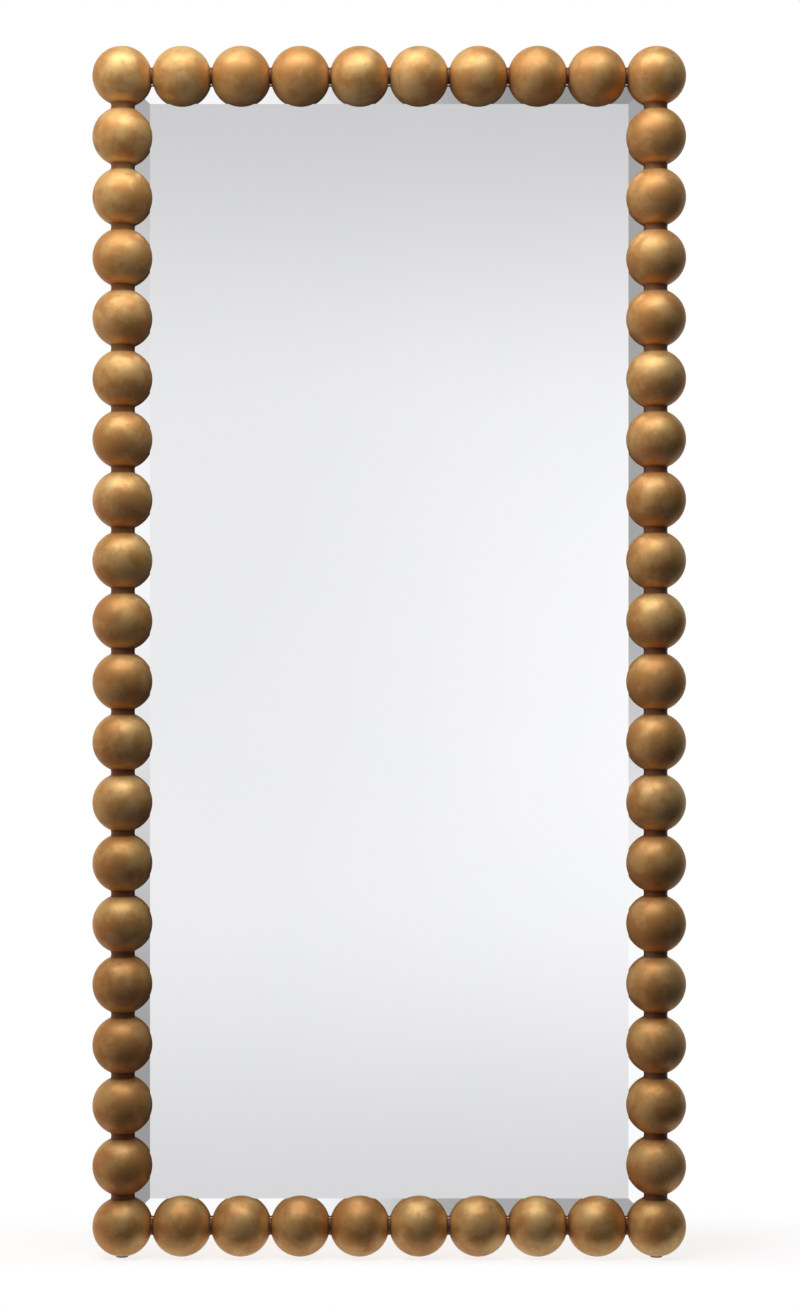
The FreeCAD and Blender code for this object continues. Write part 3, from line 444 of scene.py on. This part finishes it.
# Only the lower balls stand on a flat: the cut for it passes below the upper ones.
for corner, (below, beside) in CORNER_RAILS.items():
    level, upright = corner.split("_")
    middle = rails[upright]["Middle"].copy()
    middle.z = rails[level]["Middle"].z
    low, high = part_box("corner_ball_" + corner)
    foot = low.z - middle.z if level == "bottom" else -2 * ball_radius
    ball = grow("gilded_corner_ball_" + corner, corner_ball, {
        **rebate, "Radius": ball_radius, "Flat Below": rails[below]["Flat"],
        "Flat Beside": rails[beside]["Flat"], "Back Seat": high.y - ball_plane, "Foot": foot,
        "Turn": rails[below]["Turn"], "Middle": middle, "Tone": CORNER_TONES[corner]})
    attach(ball, "mirror")
    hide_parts("corner_ball_" + corner)


# Mirror glass: one sheet of 5 mm float glass, silvered behind, with a polished bevel 32 mm wide all
# round. It lies in the rebate of the balls and rests on two rubber blocks along its foot.
# Silvered float glass gives a hard, faintly cool reflection, with hardly a trace of cloudiness.
SILVER_CLEAR = linear("FCFCFD")
SILVER_COOL = linear("F8F9FB")
SILVER_CLOUD = 240

silvered_glass = blank_material("silvered_float_glass")
tree = silvered_glass.node_tree
place = add(tree, "ShaderNodeTexCoord").outputs["Object"]
clouds = add(tree, "ShaderNodeTexNoise", None,
             {"Vector": place, "Scale": per_metre(SILVER_CLOUD), "Detail": 2.0})
silver = add(tree, "ShaderNodeMix", COLOURS, {"Factor": clouds, "A": SILVER_CLEAR, "B": SILVER_COOL})
glass = add(tree, "ShaderNodeBsdfPrincipled", None,
            {"Base Color": silver, "Metallic": 1.0, "Roughness": 0.0})
add(tree, "ShaderNodeOutputMaterial", None, {"Surface": glass})
dress(silvered_glass, "mirror_glass")


# Rubber pieces: two setting blocks under the glass, four push-in bumpers that meet the wall and two
# push-in pads under the lower corner balls. All are moulded, dark and matt.
# Moulded rubber is near black and dull, greyed by a faint bloom and a fine grain from the mould.
RUBBER_DARK = linear("2B2A29")
RUBBER_BLOOM = linear("43413F")
BLOOM_SIZE = 6
MOULD_GRAIN = 0.5

moulded_rubber = blank_material("moulded_rubber")
tree = moulded_rubber.node_tree
place = add(tree, "ShaderNodeTexCoord").outputs["Object"]
bloom = add(tree, "ShaderNodeTexNoise", None,
            {"Vector": place, "Scale": per_metre(BLOOM_SIZE), "Detail": 3.0})
grain = add(tree, "ShaderNodeTexNoise", None, {"Vector": place, "Scale": per_metre(MOULD_GRAIN)})
shade = add(tree, "ShaderNodeMix", COLOURS, {"Factor": bloom, "A": RUBBER_DARK, "B": RUBBER_BLOOM})
dull = add(tree, "ShaderNodeMapRange", None, {"Value": bloom, "To Min": 0.62, "To Max": 0.8})
skin = add(tree, "ShaderNodeBump", None, {"Strength": 0.2, "Distance": 0.0002, "Height": grain})
rubber = add(tree, "ShaderNodeBsdfPrincipled", None,
             {"Base Color": shade, "Roughness": dull, "Normal": skin})
add(tree, "ShaderNodeOutputMaterial", None, {"Surface": rubber})
dress(moulded_rubber, "setting_blocks", "floor_pad_left", "floor_pad_right", "wall_bumper_top_left",
      "wall_bumper_top_right", "wall_bumper_bottom_left", "wall_bumper_bottom_right")


# Backing board: a sheet of 6 mm fibreboard that covers the silvered back of the glass. The batten frame
# presses it home.
# Fibreboard is an even tan, matt, flecked with short darker and paler fibres.
BOARD_TAN = linear("BE9A6E")
BOARD_DARK = linear("8C6A45")
BOARD_PALE = linear("CDAE85")
FIBRE_WIDTH = 1.6
STAIN_SIZE = 90

fibreboard = blank_material("bare_fibreboard")
tree = fibreboard.node_tree
place = add(tree, "ShaderNodeTexCoord").outputs["Object"]
fibres = add(tree, "ShaderNodeTexNoise", None,
             {"Vector": place, "Scale": per_metre(FIBRE_WIDTH), "Detail": 4.0, "Distortion": 1.5})
stains = add(tree, "ShaderNodeTexNoise", None,
             {"Vector": place, "Scale": per_metre(STAIN_SIZE), "Detail": 3.0})
dark_share = add(tree, "ShaderNodeMapRange", SMOOTH,
                 {"Value": fibres, "From Min": 0.5, "From Max": 0.75, "To Max": 0.7})
pale_share = add(tree, "ShaderNodeMapRange", SMOOTH,
                 {"Value": stains, "From Min": 0.4, "From Max": 0.7, "To Max": 0.28})
ground = add(tree, "ShaderNodeMix", COLOURS, {"Factor": pale_share, "A": BOARD_TAN, "B": BOARD_PALE})
board = add(tree, "ShaderNodeMix", COLOURS, {"Factor": dark_share, "A": ground, "B": BOARD_DARK})
nap = add(tree, "ShaderNodeBump", None, {"Strength": 0.25, "Distance": 0.0003, "Height": fibres})
pressed = add(tree, "ShaderNodeBsdfPrincipled", None,
              {"Base Color": board, "Roughness": 0.78, "Normal": nap})
add(tree, "ShaderNodeOutputMaterial", None, {"Surface": pressed})
dress(fibreboard, "backing_board")


# Batten frame: two stiles, a top and a bottom batten and two braces of planed pine, tenoned and glued.
# It holds the board and the glass in the rebate, and every rail ball is screwed to it.
# Planed pine is pale honey, striped lengthways by darker late wood, with a faint satin from the plane.
PINE_PALE = linear("E3C08C")
PINE_LATE = linear("C08A4E")
PINE_SAP = linear("EBD2A6")
LATE_SPACING = 7
SAP_WIDTH = 42
PORE_WIDTH = 0.8
GRAIN_STRETCH = 0.035


def planed_pine(name, stretch):
    """Pine whose grain runs along the axis that stretch makes long."""
    material = blank_material(name)
    tree = material.node_tree
    place = add(tree, "ShaderNodeTexCoord").outputs["Object"]
    length = add(tree, "ShaderNodeMapping", None, {"Vector": place, "Scale": stretch})
    rings = add(tree, "ShaderNodeTexNoise", None, {
        "Vector": length, "Scale": per_metre(LATE_SPACING), "Detail": 2.0, "Roughness": 0.4,
        "Distortion": 0.3})
    pores = add(tree, "ShaderNodeTexNoise", None,
                {"Vector": length, "Scale": per_metre(PORE_WIDTH), "Detail": 2.0})
    sap = add(tree, "ShaderNodeTexNoise", None, {"Vector": length, "Scale": per_metre(SAP_WIDTH)})
    late_share = add(tree, "ShaderNodeMapRange", SMOOTH,
                     {"Value": rings, "From Min": 0.48, "From Max": 0.72, "To Max": 0.8})
    pore_share = add(tree, "ShaderNodeMapRange", None,
                     {"Value": pores, "From Min": 0.5, "From Max": 0.8, "To Max": 0.45})
    ground = add(tree, "ShaderNodeMix", COLOURS, {"Factor": sap, "A": PINE_PALE, "B": PINE_SAP})
    striped = add(tree, "ShaderNodeMix", COLOURS, {"Factor": late_share, "A": ground, "B": PINE_LATE})
    pored = add(tree, "ShaderNodeMix", COLOURS, {"Factor": pore_share, "A": striped, "B": PINE_LATE})
    ridges = add(tree, "ShaderNodeBump", None, {"Strength": 0.15, "Distance": 0.0003, "Height": rings})
    wood = add(tree, "ShaderNodeBsdfPrincipled", None,
               {"Base Color": pored, "Roughness": 0.55, "Normal": ridges})
    add(tree, "ShaderNodeOutputMaterial", None, {"Surface": wood})
    return material


dress(planed_pine("planed_pine_upright", (1, 1, GRAIN_STRETCH)), "left_stile", "right_stile")
dress(planed_pine("planed_pine_level", (GRAIN_STRETCH, 1, 1)),
      "top_batten", "bottom_batten", "upper_brace", "lower_brace")


# Steel pieces: countersunk screws into the balls, and, on pan-head screws, corner plates over the batten
# joints and two hangers, each a strap folded round its wire ring. All are stock, pressed and zinc plated.
# Zinc plate is a bluish, slightly clouded silver with fine scuffs, brighter where it was burnished.
ZINC_BRIGHT = linear("C9CDD0")
ZINC_DULL = linear("A3A8AA")
SPANGLE_SIZE = 5
SCUFF_WIDTH = 0.7

zinc_plate = blank_material("zinc_plated_steel")
tree = zinc_plate.node_tree
place = add(tree, "ShaderNodeTexCoord").outputs["Object"]
spangle = add(tree, "ShaderNodeTexNoise", None,
              {"Vector": place, "Scale": per_metre(SPANGLE_SIZE), "Detail": 4.0})
scuffs = add(tree, "ShaderNodeTexNoise", None,
             {"Vector": place, "Scale": per_metre(SCUFF_WIDTH), "Detail": 2.0, "Distortion": 2.0})
plate = add(tree, "ShaderNodeMix", COLOURS, {"Factor": spangle, "A": ZINC_BRIGHT, "B": ZINC_DULL})
haze = add(tree, "ShaderNodeMapRange", None,
           {"Value": spangle, "From Min": 0.3, "From Max": 0.7, "To Min": 0.28, "To Max": 0.45})
scratched = add(tree, "ShaderNodeBump", None, {"Strength": 0.1, "Distance": 0.0001, "Height": scuffs})
steel = add(tree, "ShaderNodeBsdfPrincipled", None,
            {"Base Color": plate, "Metallic": 1.0, "Roughness": haze, "Normal": scratched})
add(tree, "ShaderNodeOutputMaterial", None, {"Surface": steel})
dress(zinc_plate, "left_ball_screws", "right_ball_screws", "top_ball_screws", "bottom_ball_screws",
      "left_hanger_strap", "right_hanger_strap", "left_hanger_ring", "right_hanger_ring",
      "left_hanger_screws", "right_hanger_screws")
for corner in CORNER_RAILS:
    dress(zinc_plate, "corner_plate_" + corner, "plate_screws_" + corner)


# Floor: a pale sheet under the mirror's foot that fades out at its edges. Its own light, which only the
# eye and reflections see, lifts it to the white of the background, and the mirror's shadow stays on it.
FLOOR_PALE = linear("A8A7A6")
WHITE = linear("FFFFFF")
FLOOR_LIFT = 0.72
FLOOR_REACH = {"left": 0.9, "right": 0.9, "front": 0.11, "back": 0.45}
FLOOR_FADE = {"left": 0.35, "right": 0.35, "front": 0.09, "back": 0.35}

pale_floor = blank_material("pale_studio_floor")
tree = pale_floor.node_tree
sight = add(tree, "ShaderNodeLightPath").outputs
seen = add(tree, "ShaderNodeMath", {"operation": "MAXIMUM"},
           {0: sight["Is Camera Ray"], 1: sight["Is Glossy Ray"]})
seen = add(tree, "ShaderNodeMath", {"operation": "MAXIMUM"}, {0: seen, 1: sight["Is Transmission Ray"]})
lift = add(tree, "ShaderNodeMath", {"operation": "MULTIPLY"}, {0: seen, 1: FLOOR_LIFT})
matt = add(tree, "ShaderNodeBsdfDiffuse", None, {"Color": FLOOR_PALE})
glow = add(tree, "ShaderNodeEmission", None, {"Color": WHITE, "Strength": lift})
sheet = add(tree, "ShaderNodeAddShader", None, {0: matt, 1: glow})
place = add(tree, "ShaderNodeTexCoord").outputs["Object"]
spot = add(tree, "ShaderNodeSeparateXYZ", None, {"Vector": place}).outputs
cover = 1.0
for edge, axis, sign in (("left", "X", -1), ("right", "X", 1), ("front", "Y", -1), ("back", "Y", 1)):
    limit = sign * FLOOR_REACH[edge]
    share = add(tree, "ShaderNodeMapRange", SMOOTH,
                {"Value": spot[axis], "From Min": limit, "From Max": limit - sign * FLOOR_FADE[edge]})
    cover = add(tree, "ShaderNodeMath", {"operation": "MULTIPLY"}, {0: share, 1: cover})
bare = add(tree, "ShaderNodeBsdfTransparent")
faded = add(tree, "ShaderNodeMixShader", None, {0: cover, 1: bare, 2: sheet})
add(tree, "ShaderNodeOutputMaterial", None, {"Surface": faded})
left, right, front, back = (FLOOR_REACH[edge] for edge in ("left", "right", "front", "back"))
corners = [(-left, -front, 0), (right, -front, 0), (right, back, 0), (-left, back, 0)]
ground = bpy.data.meshes.new("floor")
ground.from_pydata(corners, [], [(0, 1, 2, 3)])
ground.materials.append(pale_floor)
floor = bpy.data.objects.new("floor", ground)
bpy.context.scene.collection.objects.link(floor)


# Camera: level with the middle of the mirror and square to it, far enough for a long lens. One pixel of
# the 800 by 1306 picture covers the same width of the mirror as in the photograph.
PICTURE_HEIGHT = 1306
PICTURE_MIDDLE = (400, 653)
MIRROR_MIDDLE = (389.25, 651.5)
METRES_PER_PIXEL = 0.001681
CAMERA_DISTANCE = 5.5
FILM_HEIGHT = 36

object_middle = (cad_box[0] + cad_box[1]) / 2
lens = bpy.data.cameras.new("camera")
lens.sensor_fit = "VERTICAL"
lens.sensor_height = FILM_HEIGHT
lens.lens = FILM_HEIGHT * CAMERA_DISTANCE / (PICTURE_HEIGHT * METRES_PER_PIXEL)
camera = bpy.data.objects.new("camera", lens)
camera.location = (
    object_middle.x + (PICTURE_MIDDLE[0] - MIRROR_MIDDLE[0]) * METRES_PER_PIXEL,
    ball_plane - CAMERA_DISTANCE,
    object_middle.z - (PICTURE_MIDDLE[1] - MIRROR_MIDDLE[1]) * METRES_PER_PIXEL)
camera.rotation_euler = (math.radians(90), 0, 0)
bpy.context.scene.collection.objects.link(camera)
bpy.context.scene.camera = camera
view_settings = bpy.context.scene.view_settings
view_settings.view_transform = "Standard"


# Studio light: a broad soft panel hangs level in front of the mirror. It casts no shadow, so each ball is
# bright right up to the neck above it. A panel to its left casts the shadows, and a weak one at the upper
# left fills the fronts. Round them is a dim room, paler on the left, with a white backdrop.
OVERHEAD_PLACE = (-0.2, -1.0, 3.9)
OVERHEAD_POWER = 36
SHADOW_PLACE = (-0.7, -1.15, 3.5)
SHADOW_POWER = 34
PANEL_WIDTH = 3.3
PANEL_DEPTH = 1.3
FILL_PLACE = (-0.8, -1.2, 2.1)
FILL_POWER = 7
FILL_WIDTH = 1.6
FILL_DEPTH = 0.5
FILL_TURN = math.radians(-30)
ROOM_SIDES = {
    "X": {-1: linear("BCA59A"), 1: linear("1E1C20")},
    "Y": {-1: linear("363438"), 1: WHITE},
    "Z": {-1: linear("424A64"), 1: linear("5A5654")}}


def soft_panel(name, place, width, depth, power):
    """A rectangular area light that faces down and that the camera doesn't see."""
    softbox = bpy.data.lights.new(name, "AREA")
    softbox.shape = "RECTANGLE"
    softbox.size = width
    softbox.size_y = depth
    softbox.energy = power
    lamp = bpy.data.objects.new(name, softbox)
    lamp.location = place
    lamp.visible_camera = False
    bpy.context.scene.collection.objects.link(lamp)
    return lamp


overhead = soft_panel("overhead_panel", OVERHEAD_PLACE, PANEL_WIDTH, PANEL_DEPTH, OVERHEAD_POWER)
overhead.data.use_shadow = False
soft_panel("shadow_panel", SHADOW_PLACE, PANEL_WIDTH, PANEL_DEPTH, SHADOW_POWER)
fill = soft_panel("front_fill", FILL_PLACE, FILL_WIDTH, FILL_DEPTH, FILL_POWER)
fill.rotation_euler = (math.radians(90), 0, FILL_TURN)
fill.visible_glossy = False

room = bpy.data.worlds.new("studio_room")
bpy.context.scene.world = room
room.use_nodes = True
tree = room.node_tree
tree.nodes.clear()
sight = add(tree, "ShaderNodeLightPath").outputs
direction = add(tree, "ShaderNodeTexCoord").outputs["Generated"]
way = add(tree, "ShaderNodeSeparateXYZ", None, {"Vector": direction}).outputs
around = (0, 0, 0)
for axis, ends in ROOM_SIDES.items():
    for sign, colour in ends.items():
        toward = add(tree, "ShaderNodeMath", {"operation": "MULTIPLY", "use_clamp": True},
                     {0: way[axis], 1: sign})
        share = add(tree, "ShaderNodeMath", {"operation": "MULTIPLY"}, {0: toward, 1: toward})
        around = add(tree, "ShaderNodeVectorMath", {"operation": "MULTIPLY_ADD"},
                     {0: colour[:3], 1: share, 2: around})

# What the flat and bevelled glass faces: a white screen behind the camera, brightest at the height of the
# lens and towards the right, and at each side of it a card, graded lengthways, that only the bevels show.
# Places on them are slopes: how far a line of sight goes across or up for each metre forward.
LEAST_FORWARD = 0.05
SCREEN_TONES = {"From Min": 0.185, "From Max": 0.07, "To Min": 0.655, "To Max": 0.865}
SCREEN_TILT = -0.22
RIGHT_PART = {"From Min": -0.06, "From Max": 0.10}
RIGHT_RISE = {"From Min": 0.17, "From Max": 0.02, "To Max": 0.125}
LEFT_CARD = {"From Min": 0.18, "From Max": 0.0, "To Min": 0.33, "To Max": 0.97}
LEFT_CARD_BRIGHTEST = 0.035
RIGHT_CARD = {"From Min": 0.03, "From Max": -0.09, "To Min": 0.385, "To Max": 1.0}
TOP_CARD = {"From Min": -0.06, "From Max": 0.045, "To Min": 0.97, "To Max": 0.31}
BOTTOM_CARD = {"From Min": -0.035, "From Max": 0.02, "To Min": 1.0, "To Max": 0.40}
CARD_SIDE = 0.12
CARD_LEVEL = 0.21
CARD_BLEND = 0.06

forward = add(tree, "ShaderNodeMath", {"operation": "MULTIPLY"}, {0: way["Y"], 1: -1.0})
forward = add(tree, "ShaderNodeMath", {"operation": "MAXIMUM"}, {0: forward, 1: LEAST_FORWARD})
across = add(tree, "ShaderNodeMath", {"operation": "DIVIDE"}, {0: way["X"], 1: forward})
upward = add(tree, "ShaderNodeMath", {"operation": "DIVIDE"}, {0: way["Z"], 1: forward})
off_level = add(tree, "ShaderNodeMath", {"operation": "ABSOLUTE"}, {0: upward})
screen = add(tree, "ShaderNodeMapRange", SMOOTH, {"Value": off_level, **SCREEN_TONES})
screen = add(tree, "ShaderNodeMath", {"operation": "MULTIPLY_ADD"}, {0: upward, 1: SCREEN_TILT, 2: screen})
right_part = add(tree, "ShaderNodeMapRange", SMOOTH, {"Value": across, **RIGHT_PART})
right_rise = add(tree, "ShaderNodeMapRange", SMOOTH, {"Value": off_level, **RIGHT_RISE})
facing = add(tree, "ShaderNodeMath", {"operation": "MULTIPLY_ADD"},
             {0: right_part, 1: right_rise, 2: screen})
off_bright = add(tree, "ShaderNodeMath", {"operation": "SUBTRACT"}, {0: upward, 1: LEFT_CARD_BRIGHTEST})
off_bright = add(tree, "ShaderNodeMath", {"operation": "ABSOLUTE"}, {0: off_bright})
for tones, lengthways, outward, start, blend in (
        (LEFT_CARD, off_bright, across, -CARD_SIDE, -CARD_BLEND),
        (RIGHT_CARD, upward, across, CARD_SIDE, CARD_BLEND),
        (TOP_CARD, across, upward, CARD_LEVEL, CARD_BLEND),
        (BOTTOM_CARD, across, upward, -CARD_LEVEL, -CARD_BLEND)):
    card = add(tree, "ShaderNodeMapRange", SMOOTH, {"Value": lengthways, **tones})
    share = add(tree, "ShaderNodeMapRange", SMOOTH,
                {"Value": outward, "From Min": start, "From Max": start + blend})
    facing = add(tree, "ShaderNodeMix", None, {"Factor": share, "A": facing, "B": card})

# Further round, where only a view from the side looks, the glass faces a plain grey room, darker below.
FAR_PART = {"From Min": 0.6, "From Max": 1.0}
FAR_TONES = {"From Min": -0.6, "From Max": 0.5, "To Min": 0.5, "To Max": 0.86}

off_side = add(tree, "ShaderNodeMath", {"operation": "ABSOLUTE"}, {0: across})
off_axis = add(tree, "ShaderNodeMath", {"operation": "MAXIMUM"}, {0: off_side, 1: off_level})
far_part = add(tree, "ShaderNodeMapRange", SMOOTH, {"Value": off_axis, **FAR_PART})
far_tone = add(tree, "ShaderNodeMapRange", SMOOTH, {"Value": way["Z"], **FAR_TONES})
facing = add(tree, "ShaderNodeMix", None, {"Factor": far_part, "A": facing, "B": far_tone})

# The backdrop is white to the eye. The mirror shows the screen to the eye alone, and to the balls the
# room: a ray that comes to the glass by way of a ball has been turned more often.
BACKDROP_EDGE = 0.2
MOST_TURNS = 2.5

eye = add(tree, "ShaderNodeMath", {"operation": "MAXIMUM"},
          {0: sight["Is Camera Ray"], 1: sight["Is Transmission Ray"]})
direct = add(tree, "ShaderNodeMath", {"operation": "LESS_THAN"}, {0: sight["Ray Depth"], 1: MOST_TURNS})
mirrored = add(tree, "ShaderNodeMath", {"operation": "MULTIPLY"}, {0: sight["Is Singular Ray"], 1: direct})
behind = add(tree, "ShaderNodeMapRange", SMOOTH, {"Value": way["Y"], "From Max": BACKDROP_EDGE})
facing = add(tree, "ShaderNodeMix", None, {"Factor": behind, "A": facing, "B": 1.0})
tone = add(tree, "ShaderNodeMix", COLOURS, {"Factor": mirrored, "A": around, "B": facing})
tone = add(tree, "ShaderNodeMix", COLOURS, {"Factor": eye, "A": tone, "B": WHITE})
light = add(tree, "ShaderNodeBackground", None, {"Color": tone})
add(tree, "ShaderNodeOutputWorld", None, {"Surface": light})
